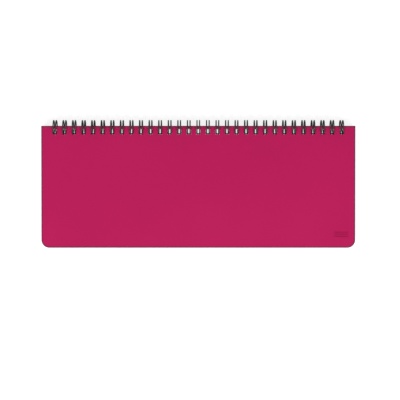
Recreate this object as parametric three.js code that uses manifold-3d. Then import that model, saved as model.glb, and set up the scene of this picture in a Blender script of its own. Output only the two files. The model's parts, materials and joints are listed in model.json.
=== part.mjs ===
// Desk pad calendar: two boards and a block of sheets on a closed comb of twin-loop wire.
// Millimetres, +Z up. The pad lies on its back, X along the binding, +Y towards it.
// The origin is under the middle of the whole pad, on the surface that it lies on.

import * as THREE from 'three';
import { mergeVertices } from 'three/addons/utils/BufferGeometryUtils.js';
import Module from 'manifold-3d';

// Boards and sheets.
const coverWidth = 278;
const coverDepth = 108;
const cornerRadius = 7;
const frontBoard = 1;
const backBoard = 1.2;
const sheetStack = 5.2;
const sheetInset = 1;
const leafGap = 0.3;

// Punched holes, one for each double loop.
const holeWidth = 4.2;
const holeLength = 5.2;
const holeMargin = 2.8;

// Twin-loop wire: three double loops to the inch.
const loopPitch = 25.4 / 3;
const loopCount = 31;
const wireDiameter = 1;
const ringInside = 11.1;
const strandSpacing = 2.3;
const wireCorner = 0.75;

// Where the ring runs through the sheets, seen along X from the middle of the ring.
const ringToEdge = 1.1;
const ringToUnderside = 4.9;
const seamClearance = 0.3;
const tipGap = 0.5;

// Facets.
const legSteps = 12;
const wireSides = 5;
const cornerSteps = 6;

const wireRadius = wireDiameter / 2;
const ringRadius = (ringInside + wireDiameter) / 2;
const backTop = backBoard - ringToUnderside;
const sheetBottom = backTop + leafGap;
const sheetTop = sheetBottom + sheetStack;
const frontBottom = sheetTop + leafGap;

// The seam lies between the back board and the last sheet. Its links run along X there.
const linkHeight = backTop + seamClearance + wireRadius;
const linkAngle = Math.PI + Math.asin(-linkHeight / ringRadius);
const linkReach = Math.sqrt(ringRadius ** 2 - linkHeight ** 2);

// Facet corners lie a little outside the true ring, so that the facets follow it on average.
const tipAngle = linkAngle - (wireDiameter + tipGap) / ringRadius;
const legTurn = tipAngle + 2 * Math.PI - linkAngle;
const stepTurn = legTurn / legSteps;
const facetRadius = (2 * ringRadius) / (1 + Math.cos(stepTurn / 2));

const boardMaterial = new THREE.MeshStandardMaterial({ color: 0xba215a, roughness: 0.62, metalness: 0 });
const backMaterial = new THREE.MeshStandardMaterial({ color: 0xba215a, roughness: 0.62, metalness: 0 });
const sheetMaterial = new THREE.MeshStandardMaterial({ color: 0xf3f0ea, roughness: 0.85, metalness: 0 });
const wireMaterial = new THREE.MeshStandardMaterial({ color: 0x2b2c2d, roughness: 0.38, metalness: 0.4 });

// Middle of each double loop along X.
const loopCentres = [];
for (let index = 0; index < loopCount; index += 1) {
  loopCentres.push((index - (loopCount - 1) / 2) * loopPitch);
}

// Outline of a leaf, with its two free corners rounded.
function leafShape(inset, radius) {
  const side = coverWidth / 2 - inset;
  const front = ringToEdge - coverDepth + inset;
  const shape = new THREE.Shape();
  shape.moveTo(side, ringToEdge);
  shape.lineTo(-side, ringToEdge);
  shape.absarc(-side + radius, front + radius, radius, Math.PI, 1.5 * Math.PI, false);
  shape.absarc(side - radius, front + radius, radius, 1.5 * Math.PI, 2 * Math.PI, false);
  return shape;
}

const wasm = await Module();
wasm.setup();

function toSolid(geometry) {
  const bare = geometry.clone();
  bare.deleteAttribute('normal');
  bare.deleteAttribute('uv');
  const merged = mergeVertices(bare, 1e-4);
  return new wasm.Manifold(new wasm.Mesh({
    numProp: 3,
    vertProperties: new Float32Array(merged.attributes.position.array),
    triVerts: new Uint32Array(merged.index.array),
  }));
}

function toGeometry(solid) {
  const mesh = solid.getMesh();
  const geometry = new THREE.BufferGeometry();
  geometry.setAttribute('position', new THREE.BufferAttribute(new Float32Array(mesh.vertProperties), 3));
  geometry.setIndex(new THREE.BufferAttribute(new Uint32Array(mesh.triVerts), 1));
  geometry.computeVertexNormals();
  return geometry;
}

// A box cut, from its middle and its full sizes.
function boxSolid(x, y, z, width, depth, height) {
  const geometry = new THREE.BoxGeometry(width, depth, height);
  geometry.translate(x, y, z);
  return toSolid(geometry);
}

// A leaf or a block of leaves from its underside upwards, with a hole for each double loop.
function leafSolid(inset, bottom, thickness) {
  const outline = new THREE.ExtrudeGeometry(leafShape(inset, cornerRadius - inset), {
    depth: thickness,
    bevelEnabled: false,
    curveSegments: cornerSteps,
  });
  outline.translate(0, 0, bottom);
  let leaf = toSolid(outline);
  const holeMiddle = ringToEdge - holeMargin - holeLength / 2;
  for (const centre of loopCentres) {
    leaf = leaf.subtract(
      boxSolid(centre, holeMiddle, bottom + thickness / 2, holeWidth, holeLength, 2 * thickness)
    );
  }
  return leaf;
}

// The last sheets give way to the links of the seam: one groove under the block, along X.
function sheetGeometry() {
  const grooveTop = linkHeight + wireRadius + seamClearance;
  const grooveWidth = wireDiameter + 2 * seamClearance;
  const grooveLength = loopPitch * (loopCount - 1) + strandSpacing + wireDiameter;
  const grooveHeight = 2 * (grooveTop - sheetBottom);
  const groove = boxSolid(0, -linkReach, sheetBottom, grooveLength, grooveWidth, grooveHeight);
  return toGeometry(leafSolid(sheetInset, sheetBottom, sheetStack).subtract(groove));
}

// A path given by its corner points. Stations along it are its corners, not even steps.
class CornerPath extends THREE.Curve {
  constructor(points) {
    super();
    this.points = points;
  }

  getPoint(t, target = new THREE.Vector3()) {
    const place = t * (this.points.length - 1);
    const index = Math.min(Math.floor(place), this.points.length - 2);
    return target.lerpVectors(this.points[index], this.points[index + 1], place - index);
  }

  getUtoTmapping(u) {
    return u;
  }

  getTangent(t, target = new THREE.Vector3()) {
    const last = this.points.length - 1;
    const index = Math.round(t * last);
    const before = this.points[Math.max(index - 1, 0)];
    const here = this.points[index];
    const after = this.points[Math.min(index + 1, last)];
    const arriving = here.clone().sub(before).normalize();
    const leaving = after.clone().sub(here).normalize();
    return target.copy(arriving).add(leaving).normalize();
  }
}

// A point of the ring: X along the binding, the angle counted from the spine side upwards.
function ringPoint(x, angle) {
  return new THREE.Vector3(x, facetRadius * Math.cos(angle), facetRadius * Math.sin(angle));
}

// One wire from end to end: up a leg, across the tip, down the next leg, along a link, and on.
function combPoints() {
  const points = [];
  const bendAngle = wireCorner / facetRadius;
  const turnIn = tipAngle + 2 * Math.PI - bendAngle;
  for (const centre of loopCentres) {
    const left = centre - strandSpacing / 2;
    const right = centre + strandSpacing / 2;
    const first = linkAngle + (centre === loopCentres[0] ? 0 : bendAngle);
    const last = linkAngle + (centre === loopCentres[loopCount - 1] ? 0 : bendAngle);
    if (centre !== loopCentres[0]) {
      points.push(ringPoint(left - wireCorner, linkAngle));
    }
    for (let step = 0; step <= legSteps; step += 1) {
      points.push(ringPoint(left, first + ((turnIn - first) * step) / legSteps));
    }
    points.push(ringPoint(left + wireCorner, tipAngle + 2 * Math.PI));
    points.push(ringPoint(right - wireCorner, tipAngle + 2 * Math.PI));
    for (let step = 0; step <= legSteps; step += 1) {
      points.push(ringPoint(right, turnIn + ((last - turnIn) * step) / legSteps));
    }
    if (centre !== loopCentres[loopCount - 1]) {
      points.push(ringPoint(right + wireCorner, linkAngle));
    }
  }
  return points;
}

function wireSection() {
  const corners = [];
  for (let side = 0; side < wireSides; side += 1) {
    const angle = (2 * Math.PI * side) / wireSides;
    corners.push(new THREE.Vector2(wireRadius * Math.cos(angle), wireRadius * Math.sin(angle)));
  }
  return new THREE.Shape(corners);
}

function wireGeometry() {
  const points = combPoints();
  return new THREE.ExtrudeGeometry(wireSection(), {
    steps: points.length - 1,
    extrudePath: new CornerPath(points),
    bevelEnabled: false,
  });
}

const pad = new THREE.Group();

function addPiece(name, geometry, material) {
  const mesh = new THREE.Mesh(geometry, material);
  mesh.name = name;
  pad.add(mesh);
}

addPiece('front_cover', toGeometry(leafSolid(0, frontBottom, frontBoard)), boardMaterial);
addPiece('page_block', sheetGeometry(), sheetMaterial);
addPiece('back_cover', toGeometry(leafSolid(0, -ringToUnderside, backBoard)), backMaterial);
addPiece('binding_wire', wireGeometry(), wireMaterial);

// At rest the rings and the front edge of the back board touch the surface below.
const ringDrop = facetRadius + wireRadius;
pad.rotation.x = Math.atan2(ringDrop - ringToUnderside, coverDepth - ringToEdge);

const calendar = new THREE.Group();
calendar.name = 'desk_pad_calendar';
calendar.add(pad);
calendar.updateMatrixWorld(true);

const bounds = new THREE.Box3().setFromObject(pad, true);
const middle = bounds.getCenter(new THREE.Vector3());
pad.position.set(-middle.x, -middle.y, -bounds.min.z);

export default calendar;
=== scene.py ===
import json
import math
import random

import bpy
from mathutils import Matrix, Vector


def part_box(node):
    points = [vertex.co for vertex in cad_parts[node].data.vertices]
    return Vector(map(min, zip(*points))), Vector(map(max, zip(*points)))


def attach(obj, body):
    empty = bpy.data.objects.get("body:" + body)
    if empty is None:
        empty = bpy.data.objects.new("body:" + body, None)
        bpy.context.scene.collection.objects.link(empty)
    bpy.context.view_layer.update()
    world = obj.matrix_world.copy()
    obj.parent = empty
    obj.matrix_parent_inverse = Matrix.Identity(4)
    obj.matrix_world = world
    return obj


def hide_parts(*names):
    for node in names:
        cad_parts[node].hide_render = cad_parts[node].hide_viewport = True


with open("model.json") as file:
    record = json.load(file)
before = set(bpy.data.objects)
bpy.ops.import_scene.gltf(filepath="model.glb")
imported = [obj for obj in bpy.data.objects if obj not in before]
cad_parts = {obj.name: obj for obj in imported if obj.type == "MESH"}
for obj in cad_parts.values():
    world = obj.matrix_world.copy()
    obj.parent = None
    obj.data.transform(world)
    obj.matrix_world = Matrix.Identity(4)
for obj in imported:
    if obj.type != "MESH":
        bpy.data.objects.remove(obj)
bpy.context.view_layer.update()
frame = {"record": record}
mm = 0.001
hair = 0.001 * mm

# The rings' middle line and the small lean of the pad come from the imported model.
record = frame["record"]
joints = {joint["name"]: joint for joint in record["behaviour"]["joints"]}
ringMiddle = Vector(joints["back_cover_turn"]["pos_m"])
restFace = Vector(record["mounts"][0]["axis"])
lean = math.atan2(restFace.y, -restFace.z)
padPlace = Matrix.Translation(ringMiddle) @ Matrix.Rotation(lean, 4, "X")

# Shared sizes. Heights count from the middle of the rings, along the pad's own upward direction.
pad = {
    "width": 278 * mm,
    "depth": 108 * mm,
    "edgeFromRing": 1.1 * mm,
    "cornerRadius": 7 * mm,
    "cornerSteps": 12,
    "loopPitch": 25.4 / 3 * mm,
    "loopCount": 31,
    "holeWidth": 3.8 * mm,
    "holeLength": 4.85 * mm,
    "holeMargin": 2.8 * mm,
    "holeCorner": 0.55 * mm,
    "holeCornerSteps": 3,
    "cutHeight": 40 * mm,
    "roundFrom": math.radians(60),
    "smoothUpTo": math.radians(35),
    "levelFrom": 0.999,
}
firstLoop = -(pad["loopCount"] - 1) / 2 * pad["loopPitch"]


# Scene basics

def deselect():
    if bpy.context.object and bpy.context.object.mode != "OBJECT":
        bpy.ops.object.mode_set(mode="OBJECT")
    bpy.ops.object.select_all(action="DESELECT")


def makeActive(piece):
    deselect()
    piece.select_set(True)
    bpy.context.view_layer.objects.active = piece


def applyPlace(piece):
    # The place goes into the mesh, so the object itself sits at the origin.
    makeActive(piece)
    bpy.ops.object.transform_apply(location=True, rotation=True, scale=True)


def applyModifier(piece, kind, **settings):
    makeActive(piece)
    modifier = piece.modifiers.new(kind.title(), kind)
    for key, value in settings.items():
        setattr(modifier, key, value)
    bpy.ops.object.modifier_apply(modifier=modifier.name)


def addBlock(name, middle, size):
    deselect()
    bpy.ops.mesh.primitive_cube_add(size=1, location=middle)
    piece = bpy.context.object
    piece.name = name
    piece.scale = size
    applyPlace(piece)
    return piece


def selectEdges(piece, wanted):
    # Edit mode with only the edges that the test accepts, by their two ends.
    makeActive(piece)
    bpy.ops.object.mode_set(mode="EDIT")
    bpy.ops.mesh.select_mode(type="EDGE")
    bpy.ops.mesh.select_all(action="DESELECT")
    bpy.ops.object.mode_set(mode="OBJECT")
    points = piece.data.vertices
    for edge in piece.data.edges:
        edge.select = wanted(points[edge.vertices[0]].co, points[edge.vertices[1]].co)
    bpy.ops.object.mode_set(mode="EDIT")


def isUpright(a, b):
    return abs(a.x - b.x) < hair and abs(a.y - b.y) < hair


def bevelEdges(piece, wanted, offset, segments):
    selectEdges(piece, wanted)
    bpy.ops.mesh.bevel(offset=offset, segments=segments, affect="EDGES")
    bpy.ops.object.mode_set(mode="OBJECT")


def repeatPiece(piece, count, step, **settings):
    # A row of copies in one mesh, each one a step further on.
    applyModifier(
        piece, "ARRAY", count=count, use_relative_offset=False,
        use_constant_offset=True, constant_offset_displace=step, **settings,
    )


def cutAway(piece, cutter):
    applyModifier(piece, "BOOLEAN", operation="DIFFERENCE", solver="EXACT", object=cutter)


def remove(piece):
    bpy.data.objects.remove(piece, do_unlink=True)


def giveMaterials(piece, *materials):
    piece.data.materials.clear()
    for material in materials:
        piece.data.materials.append(material)


def selectFaces(piece, wanted):
    # Edit mode with only the faces that the test accepts.
    makeActive(piece)
    bpy.ops.object.mode_set(mode="EDIT")
    bpy.ops.mesh.select_mode(type="FACE")
    bpy.ops.mesh.select_all(action="DESELECT")
    bpy.ops.object.mode_set(mode="OBJECT")
    for face in piece.data.polygons:
        face.select = wanted(face)
    bpy.ops.object.mode_set(mode="EDIT")


def isLevel(face):
    return abs(face.normal.z) > pad["levelFrom"]


def flattenFaces(piece, smallest):
    # Broad faces are shaded flat, so that the rounded rims don't pull their shading about.
    selectFaces(piece, lambda face: isLevel(face) and face.area > smallest)
    bpy.ops.mesh.faces_shade_flat()
    bpy.ops.object.mode_set(mode="OBJECT")


def paintFaces(piece, slotIndex, wanted=lambda face: True):
    for face in piece.data.polygons:
        if wanted(face):
            face.material_index = slotIndex


def setDown(piece, body, node, flatFrom=None):
    # Turned and moved from the pad's own upright frame to its place, then declared.
    makeActive(piece)
    bpy.ops.object.shade_smooth_by_angle(angle=pad["smoothUpTo"])
    if flatFrom is not None:
        flattenFaces(piece, flatFrom)
    piece.matrix_world = padPlace
    applyPlace(piece)
    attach(piece, body)
    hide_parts(node)
    deselect()


# Finishes

def startMaterial(name):
    material = bpy.data.materials.new(name)
    material.use_nodes = True
    nodes = material.node_tree.nodes
    shader = next(node for node in nodes if node.type == "BSDF_PRINCIPLED")
    place = nodes.new("ShaderNodeTexCoord")
    return material, nodes, material.node_tree.links, shader, place.outputs["Object"]


def addNoise(nodes, links, place, scale, detail=4.0, stretch=(1, 1, 1)):
    mapping = nodes.new("ShaderNodeMapping")
    mapping.inputs["Scale"].default_value = stretch
    links.new(place, mapping.inputs["Vector"])
    noise = nodes.new("ShaderNodeTexNoise")
    noise.inputs["Scale"].default_value = scale
    noise.inputs["Detail"].default_value = detail
    links.new(mapping.outputs["Vector"], noise.inputs["Vector"])
    return noise.outputs["Fac"]


def addCells(nodes, links, place, scale):
    cells = nodes.new("ShaderNodeTexVoronoi")
    cells.inputs["Scale"].default_value = scale
    links.new(place, cells.inputs["Vector"])
    return cells.outputs["Distance"]


def addRamp(nodes, links, source, dark, light, low=0.3, high=0.7):
    ramp = nodes.new("ShaderNodeValToRGB")
    ramp.color_ramp.elements[0].position = low
    ramp.color_ramp.elements[0].color = (*dark, 1)
    ramp.color_ramp.elements[1].position = high
    ramp.color_ramp.elements[1].color = (*light, 1)
    links.new(source, ramp.inputs["Fac"])
    return ramp.outputs["Color"]


def addRange(nodes, links, source, low, high):
    span = nodes.new("ShaderNodeMapRange")
    span.inputs["To Min"].default_value = low
    span.inputs["To Max"].default_value = high
    links.new(source, span.inputs["Value"])
    return span.outputs["Result"]


def addBump(nodes, links, height, distance, strength, under=None):
    bump = nodes.new("ShaderNodeBump")
    bump.inputs["Distance"].default_value = distance
    bump.inputs["Strength"].default_value = strength
    links.new(height, bump.inputs["Height"])
    if under is not None:
        links.new(under, bump.inputs["Normal"])
    return bump.outputs["Normal"]


coverLook = {
    "dark": (0.450, 0.0084, 0.0905),
    "light": (0.472, 0.0094, 0.0940),
    # Painted shade: the rounded rim and a narrow band of the broad faces beside it are coloured darker
    # than the cover.
    "rimPaintedShadeDark": (0.195, 0.0200, 0.0720),
    "rimPaintedShadeLight": (0.235, 0.0240, 0.0820),
    "pressedDark": (0.330, 0.0050, 0.0560),
    "pressedLight": (0.380, 0.0060, 0.0640),
    "broadScale": 14,
    "fineScale": 420,
    "fineBump": 0.35,
    "grainSize": 0.55 * mm,
    "grainDepth": 0.05 * mm,
    "grainBump": 0.55,
    "roughLow": 0.54,
    "roughHigh": 0.66,
    "specular": 0.10,
}


def coverFinish(name, dark, light):
    look = coverLook
    material, nodes, links, shader, place = startMaterial(name)
    broad = addNoise(nodes, links, place, look["broadScale"])
    links.new(addRamp(nodes, links, broad, look[dark], look[light]), shader.inputs["Base Color"])
    fine = addNoise(nodes, links, place, look["fineScale"])
    gloss = addRange(nodes, links, fine, look["roughLow"], look["roughHigh"])
    links.new(gloss, shader.inputs["Roughness"])
    grain = addCells(nodes, links, place, 1 / look["grainSize"])
    grainBump = addBump(nodes, links, grain, look["grainDepth"], look["grainBump"])
    fineBump = addBump(nodes, links, fine, look["grainDepth"], look["fineBump"], grainBump)
    links.new(fineBump, shader.inputs["Normal"])
    shader.inputs["Specular IOR Level"].default_value = look["specular"]
    return material


paperLook = {
    "dark": (0.76, 0.74, 0.70),
    "light": (0.90, 0.885, 0.85),
    "layerScale": 2,
    "layerDetail": 5,
    "layerStretch": (1, 1, 1500),
    "fibreScale": 1600,
    "fibreDetail": 3,
    "fibreDepth": 0.03 * mm,
    "fibreBump": 0.4,
    "rough": 0.85,
}


def paperFinish():
    look = paperLook
    material, nodes, links, shader, place = startMaterial("sheetFinish")
    # Turned level with the sheets first, so that each sheet has one tone.
    level = nodes.new("ShaderNodeMapping")
    level.inputs["Rotation"].default_value = (-lean, 0, 0)
    links.new(place, level.inputs["Vector"])
    layers = addNoise(
        nodes, links, level.outputs["Vector"],
        look["layerScale"], look["layerDetail"], look["layerStretch"],
    )
    links.new(addRamp(nodes, links, layers, look["dark"], look["light"]), shader.inputs["Base Color"])
    fibres = addNoise(nodes, links, place, look["fibreScale"], look["fibreDetail"])
    fibreBump = addBump(nodes, links, fibres, look["fibreDepth"], look["fibreBump"])
    links.new(fibreBump, shader.inputs["Normal"])
    shader.inputs["Roughness"].default_value = look["rough"]
    return material


printLook = {
    "dark": (0.30, 0.29, 0.29),
    "light": (0.40, 0.39, 0.385),
    "bandDark": (0.52, 0.060, 0.16),
    "bandLight": (0.60, 0.080, 0.19),
    "patchScale": 900,
    "rough": 0.7,
}


def printFinish(name, dark, light):
    # Ink that lies a little unevenly on the paper.
    look = printLook
    material, nodes, links, shader, place = startMaterial(name)
    patches = addNoise(nodes, links, place, look["patchScale"])
    ink = addRamp(nodes, links, patches, look[dark], look[light])
    links.new(ink, shader.inputs["Base Color"])
    shader.inputs["Roughness"].default_value = look["rough"]
    return material


wireLook = {
    "dark": (0.012, 0.013, 0.013),
    "light": (0.023, 0.025, 0.024),
    "patchScale": 350,
    "roughLow": 0.48,
    "roughHigh": 0.60,
    "specular": 0.30,
    "skinScale": 2600,
    "skinDetail": 2,
    "skinDepth": 0.02 * mm,
    "skinBump": 0.3,
}


def wireFinish():
    look = wireLook
    material, nodes, links, shader, place = startMaterial("coatedWireFinish")
    patches = addNoise(nodes, links, place, look["patchScale"])
    links.new(addRamp(nodes, links, patches, look["dark"], look["light"]), shader.inputs["Base Color"])
    gloss = addRange(nodes, links, patches, look["roughLow"], look["roughHigh"])
    links.new(gloss, shader.inputs["Roughness"])
    skin = addNoise(nodes, links, place, look["skinScale"], look["skinDetail"])
    skinBump = addBump(nodes, links, skin, look["skinDepth"], look["skinBump"])
    links.new(skinBump, shader.inputs["Normal"])
    shader.inputs["Specular IOR Level"].default_value = look["specular"]
    return material


# Boards and sheets

def addLeaf(name, inset, bottom, thickness):
    # A slab with its two front corners rounded, lying behind the rings' middle line.
    width = pad["width"] - 2 * inset
    depth = pad["depth"] - inset
    middle = (0, pad["edgeFromRing"] - depth / 2, bottom + thickness / 2)
    leaf = addBlock(name, middle, (width, depth, thickness))
    front = middle[1] - depth / 2
    bevelEdges(
        leaf, lambda a, b: isUpright(a, b) and a.y < front + mm,
        pad["cornerRadius"] - inset, pad["cornerSteps"],
    )
    return leaf


def addHoleCutter():
    # One punch with rounded corners, repeated along the binding.
    y = pad["edgeFromRing"] - pad["holeMargin"] - pad["holeLength"] / 2
    size = (pad["holeWidth"], pad["holeLength"], pad["cutHeight"])
    cutter = addBlock("punch", (firstLoop, y, 0), size)
    bevelEdges(cutter, isUpright, pad["holeCorner"], pad["holeCornerSteps"])
    repeatPiece(cutter, pad["loopCount"], (pad["loopPitch"], 0, 0))
    return cutter


board = {
    "frontBottom": 2.1 * mm,
    "frontThickness": 1.0 * mm,
    "backBottom": -4.9 * mm,
    "backThickness": 1.2 * mm,
    "rim": 0.42 * mm,
    "rimSteps": 5,
    # Width of the painted shade band on the broad faces, beside the rounded rim.
    "paintedShadeBand": 0.85 * mm,
    "holeRim": 0.1 * mm,
    "holeRimSteps": 2,
    "flatFrom": 0.2 * mm * mm,
    "faceSlot": 0,
    "paintedShadeSlot": 1,
    "pressedSlot": 2,
}

# A pressed month grid of small plain squares near the free corner.
pressed = {
    "columns": 7,
    "rows": 3,
    "square": 1.15 * mm,
    "corner": 0.2 * mm,
    "cornerSteps": 2,
    "pitch": 1.85 * mm,
    "depth": 0.25 * mm,
    "fromSide": 12.5 * mm,
    "fromFront": 12 * mm,
}


def addPressedGrid(top):
    reach = pressed["pitch"] * (pressed["columns"] - 1)
    drop = pressed["pitch"] * (pressed["rows"] - 1)
    x = pad["width"] / 2 - pressed["fromSide"] - reach / 2
    y = pad["edgeFromRing"] - pad["depth"] + pressed["fromFront"] - drop / 2
    size = (pressed["square"], pressed["square"], 2 * pressed["depth"])
    grid = addBlock("pressedGrid", (x, y, top), size)
    bevelEdges(grid, isUpright, pressed["corner"], pressed["cornerSteps"])
    repeatPiece(grid, pressed["columns"], (pressed["pitch"], 0, 0))
    repeatPiece(grid, pressed["rows"], (0, pressed["pitch"], 0))
    return grid


def roundRims(piece, width, segments):
    applyModifier(
        piece, "BEVEL", width=width, segments=segments,
        limit_method="ANGLE", angle_limit=pad["roundFrom"],
    )


def makeBoard(name, bottom, thickness, materials):
    leaf = addLeaf(name, 0, bottom, thickness)
    roundRims(leaf, board["rim"], board["rimSteps"])
    giveMaterials(leaf, *materials)
    paintFaces(leaf, board["paintedShadeSlot"])
    # The whole board first takes the rim's painted shade; inside that darker band the two broad faces
    # have the cover's own tone.
    selectFaces(leaf, isLevel)
    bpy.ops.mesh.inset(thickness=board["paintedShadeBand"])
    leaf.active_material_index = board["faceSlot"]
    bpy.ops.object.material_slot_assign()
    bpy.ops.object.mode_set(mode="OBJECT")
    cutter = addHoleCutter()
    cutAway(leaf, cutter)
    remove(cutter)
    roundRims(leaf, board["holeRim"], board["holeRimSteps"])
    return leaf


def makeCovers():
    face = coverFinish("pinkBoardFinish", "dark", "light")
    # The rim's finish is the cover's colour darkened as painted shade of the rounded edge.
    rim = coverFinish("pinkRimPaintedShade", "rimPaintedShadeDark", "rimPaintedShadeLight")
    pressing = coverFinish("pressedFinish", "pressedDark", "pressedLight")
    top = board["frontBottom"] + board["frontThickness"]
    front = makeBoard(
        "frontCoverBoard", board["frontBottom"], board["frontThickness"], (face, rim, pressing)
    )
    grid = addPressedGrid(top)
    cutAway(front, grid)
    remove(grid)
    grooveFloor = top - pressed["depth"]
    near = pressed["depth"] / 10
    paintFaces(
        front, board["pressedSlot"],
        lambda face: isLevel(face) and abs(face.center.z - grooveFloor) < near,
    )
    setDown(front, "front", "front_cover", board["flatFrom"])
    back = makeBoard("backCoverBoard", board["backBottom"], board["backThickness"], (face, rim))
    setDown(back, "back", "back_cover", board["flatFrom"])
    print("covers made")


sheets = {
    "inset": 1.0 * mm,
    "bottom": -3.4 * mm,
    "height": 5.2 * mm,
    "count": 52,
    "thickness": 0.092 * mm,
    "shuffle": 0.07 * mm,
    "seamHeight": -2.9 * mm,
    "seamRoom": 0.8 * mm,
    "seed": 11,
}


# Ruling of the first sheet: a band for the days, seven columns and faint writing lines.
ruling = {
    "side": 128 * mm,
    "top": -13 * mm,
    "band": 6.5 * mm,
    "bottom": -99 * mm,
    "columns": 7,
    "lines": 9,
    "columnLine": 0.45 * mm,
    "writingLine": 0.25 * mm,
    "ink": 0.03 * mm,
    "columnDrop": 0.003 * mm,
    "inkSlot": 1,
    "bandSlot": 2,
}


def addRuling(height, materials):
    # Each strip is a very thin block, half sunk in the sheet. The upright ones lie a touch lower.
    strips = [addBlock(
        "dayBand", (0, ruling["top"] - ruling["band"] / 2, height),
        (2 * ruling["side"], ruling["band"], ruling["ink"]),
    )]
    drop = (ruling["top"] - ruling["band"] - ruling["bottom"]) / ruling["lines"]
    for index in range(ruling["lines"]):
        y = ruling["bottom"] + index * drop
        strips.append(addBlock(
            "writingLine", (0, y, height),
            (2 * ruling["side"], ruling["writingLine"], ruling["ink"]),
        ))
    span = ruling["top"] - ruling["bottom"]
    for index in range(ruling["columns"] + 1):
        x = -ruling["side"] + 2 * ruling["side"] * index / ruling["columns"]
        strips.append(addBlock(
            "columnLine", (x, ruling["top"] - span / 2, height - ruling["columnDrop"]),
            (ruling["columnLine"], span, ruling["ink"]),
        ))
    for index, strip in enumerate(strips):
        giveMaterials(strip, *materials)
        paintFaces(strip, ruling["bandSlot"] if index == 0 else ruling["inkSlot"])
    return strips


def makeSheets():
    # Two patterns: plain sheets, and the last ones, which give way to the seam of the wire.
    step = sheets["height"] / sheets["count"]
    punch = addHoleCutter()
    seamReach = math.sqrt(wire["ringRadius"] ** 2 - sheets["seamHeight"] ** 2)
    seamLength = -2 * firstLoop + wire["strandSpacing"] + wire["thickness"]
    seamSize = (seamLength, 2 * sheets["seamRoom"], pad["cutHeight"])
    seam = addBlock("seamRoom", (0, -seamReach, 0), seamSize)
    materials = (
        paperFinish(),
        printFinish("greyInk", "dark", "light"),
        printFinish("bandInk", "bandDark", "bandLight"),
    )
    patterns = []
    for cutters in ((punch,), (punch, seam)):
        sheet = addLeaf("sheetPattern", sheets["inset"], 0, sheets["thickness"])
        giveMaterials(sheet, *materials)
        for cutter in cutters:
            cutAway(sheet, cutter)
        patterns.append(sheet)
    remove(punch)
    remove(seam)
    draw = random.Random(sheets["seed"])
    copies = []
    for index in range(sheets["count"]):
        bottom = sheets["bottom"] + index * step
        nearSeam = bottom < sheets["seamHeight"] + sheets["seamRoom"]
        sheet = patterns[1 if nearSeam else 0].copy()
        sheet.data = sheet.data.copy()
        bpy.context.collection.objects.link(sheet)
        sheet.location = (
            draw.uniform(-1, 1) * sheets["shuffle"],
            draw.uniform(-1, 0) * sheets["shuffle"],
            bottom,
        )
        copies.append(sheet)
    for pattern in patterns:
        remove(pattern)
    copies += addRuling(sheets["bottom"] + sheets["height"] - step + sheets["thickness"], materials)
    deselect()
    for sheet in copies:
        sheet.select_set(True)
    bpy.context.view_layer.objects.active = copies[0]
    bpy.ops.object.join()
    block = bpy.context.object
    block.name = "sheetBlock"
    applyPlace(block)
    setDown(block, "pad", "page_block")
    print("sheets made")


# Binding wire

wire = {
    "thickness": 1.1 * mm,
    "ringRadius": 5.92 * mm,
    "strandSpacing": 2.3 * mm,
    "baseBend": 0.85 * mm,
    "tipGap": 0.5 * mm,
    "legSteps": 44,
    "bendSteps": 5,
    "roundness": 3,
    "endCut": 0.52,
    "mergeReach": 0.01 * mm,
}


def wirePath():
    # The route of one double loop, drawn flat as (along the binding, round the ring).
    half = wire["strandSpacing"] / 2
    bend = wire["baseBend"]
    radius = wire["ringRadius"]
    base = (math.pi + math.asin(-sheets["seamHeight"] / radius)) * radius
    tip = base + 2 * math.pi * radius - wire["thickness"] - wire["tipGap"]
    left = [(-pad["loopPitch"] / 2, base)]
    for step in range(wire["bendSteps"] + 1):
        turn = math.pi / 2 * step / wire["bendSteps"]
        left.append((-half - bend + bend * math.sin(turn), base + bend - bend * math.cos(turn)))
    legStart = base + bend
    legEnd = tip - half
    for step in range(1, wire["legSteps"]):
        left.append((-half, legStart + (legEnd - legStart) * step / wire["legSteps"]))
    for step in range(wire["bendSteps"]):
        turn = math.pi / 2 * step / wire["bendSteps"]
        left.append((-half * math.cos(turn), legEnd + half * math.sin(turn)))
    right = [(-x, along) for x, along in reversed(left)]
    return left + [(0, tip)] + right, radius


def makeWire():
    route, radius = wirePath()
    deselect()
    bpy.ops.curve.primitive_bezier_curve_add(radius=mm)
    piece = bpy.context.object
    piece.name = "twinLoopWire"
    curve = piece.data
    curve.splines.clear()
    spline = curve.splines.new("POLY")
    spline.points.add(len(route) - 1)
    for point, (x, along) in zip(spline.points, route):
        angle = along / radius
        point.co = (x, radius * math.cos(angle), radius * math.sin(angle), 1)
    curve.dimensions = "3D"
    curve.bevel_depth = wire["thickness"] / 2
    curve.bevel_resolution = wire["roundness"]
    makeActive(piece)
    bpy.ops.object.convert(target="MESH")
    piece = bpy.context.object
    piece.location.x = firstLoop
    applyPlace(piece)
    repeatPiece(
        piece, pad["loopCount"], (pad["loopPitch"], 0, 0),
        use_merge_vertices=True, merge_threshold=wire["mergeReach"],
    )
    # The comb is cut off just beside its first and last strands.
    lastStrand = -firstLoop + wire["strandSpacing"] / 2
    cut = lastStrand + wire["endCut"] * wire["thickness"]
    for side in (-1, 1):
        makeActive(piece)
        bpy.ops.object.mode_set(mode="EDIT")
        bpy.ops.mesh.select_all(action="SELECT")
        bpy.ops.mesh.bisect(
            plane_co=(side * cut, 0, 0), plane_no=(side, 0, 0),
            use_fill=True, clear_outer=True, threshold=hair,
        )
        bpy.ops.mesh.select_all(action="SELECT")
        bpy.ops.mesh.normals_make_consistent(inside=False)
        bpy.ops.object.mode_set(mode="OBJECT")
    giveMaterials(piece, wireFinish())
    setDown(piece, "pad", "binding_wire")
    print("wire made")


# Floor, light and camera

stage = {
    "floorSize": 6,
    "floorShade": 0.38,
    "floorSpeckle": 0.01,
    "speckleScale": 40,
    "floorRough": 0.9,
    "floorSpecular": 0.1,
    "floorGlow": 0.81,
    "skyLow": 0.95,
    "skyHigh": 0.04,
}


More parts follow.
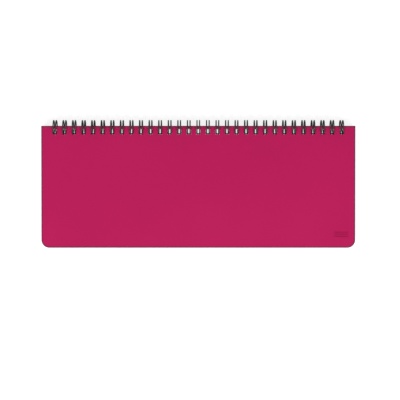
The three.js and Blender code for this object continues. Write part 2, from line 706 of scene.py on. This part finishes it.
def addPlainWhite(nodes, links):
    # One where the camera, a gloss or a clear piece looks straight at the backdrop.
    rays = nodes.new("ShaderNodeLightPath")
    seen = rays.outputs["Is Camera Ray"]
    for kind in ("Is Glossy Ray", "Is Transmission Ray"):
        either = nodes.new("ShaderNodeMath")
        either.operation = "MAXIMUM"
        links.new(seen, either.inputs[0])
        links.new(rays.outputs[kind], either.inputs[1])
        seen = either.outputs["Value"]
    return seen


def makeFloor():
    deselect()
    bpy.ops.mesh.primitive_plane_add(size=stage["floorSize"], location=(0, 0, 0))
    floor = bpy.context.object
    floor.name = "floor"
    material, nodes, links, shader, place = startMaterial("paleFloor")
    tone = stage["floorShade"]
    speckle = addNoise(nodes, links, place, stage["speckleScale"])
    shade = addRamp(nodes, links, speckle, (tone - stage["floorSpeckle"],) * 3, (tone,) * 3)
    links.new(shade, shader.inputs["Base Color"])
    shader.inputs["Roughness"].default_value = stage["floorRough"]
    shader.inputs["Specular IOR Level"].default_value = stage["floorSpecular"]
    glow = nodes.new("ShaderNodeMath")
    glow.operation = "MULTIPLY"
    glow.inputs[1].default_value = stage["floorGlow"]
    links.new(addPlainWhite(nodes, links), glow.inputs[0])
    shader.inputs["Emission Color"].default_value = (1, 1, 1, 1)
    links.new(glow.outputs["Value"], shader.inputs["Emission Strength"])
    floor.data.materials.append(material)


def makeSky():
    world = bpy.data.worlds.new("studio")
    bpy.context.scene.world = world
    world.use_nodes = True
    nodes = world.node_tree.nodes
    links = world.node_tree.links
    background = next(node for node in nodes if node.type == "BACKGROUND")
    # Its light is bright low down and dim overhead, as between two softboxes.
    direction = nodes.new("ShaderNodeTexCoord")
    parts = nodes.new("ShaderNodeSeparateXYZ")
    links.new(direction.outputs["Generated"], parts.inputs["Vector"])
    glow = nodes.new("ShaderNodeMapRange")
    glow.inputs["To Min"].default_value = stage["skyLow"]
    glow.inputs["To Max"].default_value = stage["skyHigh"]
    links.new(parts.outputs["Z"], glow.inputs["Value"])
    level = nodes.new("ShaderNodeMix")
    level.inputs["B"].default_value = 1.0
    links.new(addPlainWhite(nodes, links), level.inputs["Factor"])
    links.new(glow.outputs["Result"], level.inputs["A"])
    links.new(level.outputs["Result"], background.inputs["Strength"])
    background.inputs["Color"].default_value = (1, 1, 1, 1)


lamps = (
    {"name": "keyLight", "place": (-0.7, -1.3, 1.3), "size": 1.0, "power": 24},
    {"name": "fillLight", "place": (0.8, -1.2, 1.4), "size": 1.1, "power": 18},
)


def makeLamps():
    for lamp in lamps:
        bpy.ops.object.light_add(type="AREA", location=lamp["place"])
        light = bpy.context.object
        light.name = lamp["name"]
        light.data.size = lamp["size"]
        light.data.energy = lamp["power"]
        light.rotation_euler = (-Vector(lamp["place"])).to_track_quat("-Z", "Y").to_euler()


view = {
    "lens": 110,
    "frameWidth": 353.8 * mm,
    "besideMiddle": 1.5 * mm,
    "belowMiddle": 11.65 * mm,
}


def makeCamera():
    low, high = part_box("front_cover")
    middle = (Vector(low) + Vector(high)) / 2
    bpy.ops.object.camera_add(rotation=(0, 0, 0))
    camera = bpy.context.object
    camera.name = "photoCamera"
    camera.data.lens = view["lens"]
    height = view["frameWidth"] * view["lens"] / camera.data.sensor_width
    camera.location = (
        middle.x + view["besideMiddle"],
        middle.y - view["belowMiddle"],
        high[2] + height,
    )
    bpy.context.scene.camera = camera


scene = bpy.context.scene
scene.view_settings.view_transform = "Standard"
makeCamera()
makeFloor()
makeSky()
makeLamps()
print("camera, floor and light made")
makeCovers()
makeSheets()
makeWire()

deselect()
